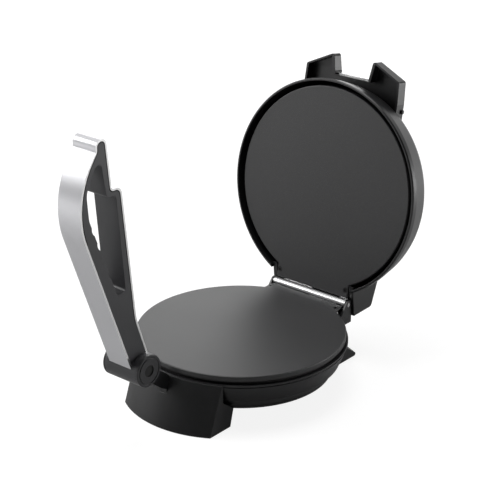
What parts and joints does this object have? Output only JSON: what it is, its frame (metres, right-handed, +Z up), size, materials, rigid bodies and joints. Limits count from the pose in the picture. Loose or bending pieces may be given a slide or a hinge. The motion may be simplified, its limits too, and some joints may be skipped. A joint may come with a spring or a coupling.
{
  "type": "electric roti maker",
  "caption": "Countertop flatbread press cooker: round hinged lid over a heated round plate, with an upright press lever that folds over the closed lid.",
  "frame": {"origin": "on the table plane, under the centre of the lower cooking plate", "axes": "+X to the right seen from the lever, +Y from the lever to the lid hinge, +Z up"},
  "size_m": [0.236, 0.4348, 0.3243],
  "materials": {
    "plate_coating": "satin non-stick coating",
    "black_plastic": "satin black moulding",
    "silver_band": "satin silver",
    "polished_steel": "polished",
    "rubber": "matte",
    "red_lens": "clear gloss",
    "green_lens": "clear gloss",
    "pale_insulator": "matte ceramic",
    "black_steel": "black oxide",
    "fuse_case": "plain",
    "bush_nylon": "natural nylon",
    "shield_sheet": "aluminised sheet",
    "zinc_steel": "zinc plated"
  },
  "bodies": {
    "base": {"axle_nut": "zinc_steel", "base_cover": "black_plastic", "base_cover_screws": "zinc_steel", "base_housing": "black_plastic", "bracket_screws": "zinc_steel", "cord_gland": "black_plastic", "hinge_pin": "polished_steel", "lever_axle": "zinc_steel", "lever_bracket": "black_plastic", "lower_element": "zinc_steel", "lower_element_clamps": "zinc_steel", "lower_fuse_clip": "zinc_steel", "lower_heat_shield": "shield_sheet", "lower_hinge_leaf": "polished_steel", "lower_hinge_nuts": "zinc_steel", "lower_hinge_screws": "black_steel", "lower_mount_screws": "zinc_steel", "lower_plate": "plate_coating", "lower_small_screws": "zinc_steel", "lower_spacers": "zinc_steel", "lower_thermal_fuse": "fuse_case", "lower_thermostat": "pale_insulator", "rubber_feet": "rubber", "terminal_block": "pale_insulator"},
    "lid": {"upper_element": "zinc_steel", "upper_element_clamps": "zinc_steel", "upper_fuse_clip": "zinc_steel", "upper_heat_shield": "shield_sheet", "upper_hinge_leaf": "polished_steel", "upper_hinge_nuts": "zinc_steel", "upper_hinge_screws": "black_steel", "upper_mount_screws": "zinc_steel", "upper_plate": "plate_coating", "upper_small_screws": "zinc_steel", "upper_spacers": "zinc_steel", "upper_thermal_fuse": "fuse_case", "upper_thermostat": "pale_insulator", "lid_housing": "black_plastic", "lid_bridge": "black_plastic", "bridge_screws": "zinc_steel", "press_plate": "polished_steel", "power_lamp": "red_lens", "ready_lamp": "green_lens"},
    "lever": {"lever_core": "black_plastic", "lever_band": "silver_band", "hub_cap_right": "black_plastic", "hub_cap_left": "black_plastic", "lever_bushes": "bush_nylon"}
  },
  "joints": [
    {"name": "lid_hinge", "type": "hinge", "parent": "base", "child": "lid", "pos_m": [0, 0.1189, 0.0605], "axis": [1, 0, 0], "range_deg": [0, 98.67]},
    {"name": "lever_pivot", "type": "hinge", "parent": "base", "child": "lever", "pos_m": [0, -0.1635, 0.082], "axis": [-1, 0, 0], "range_deg": [0, 69.2]}
  ]
}
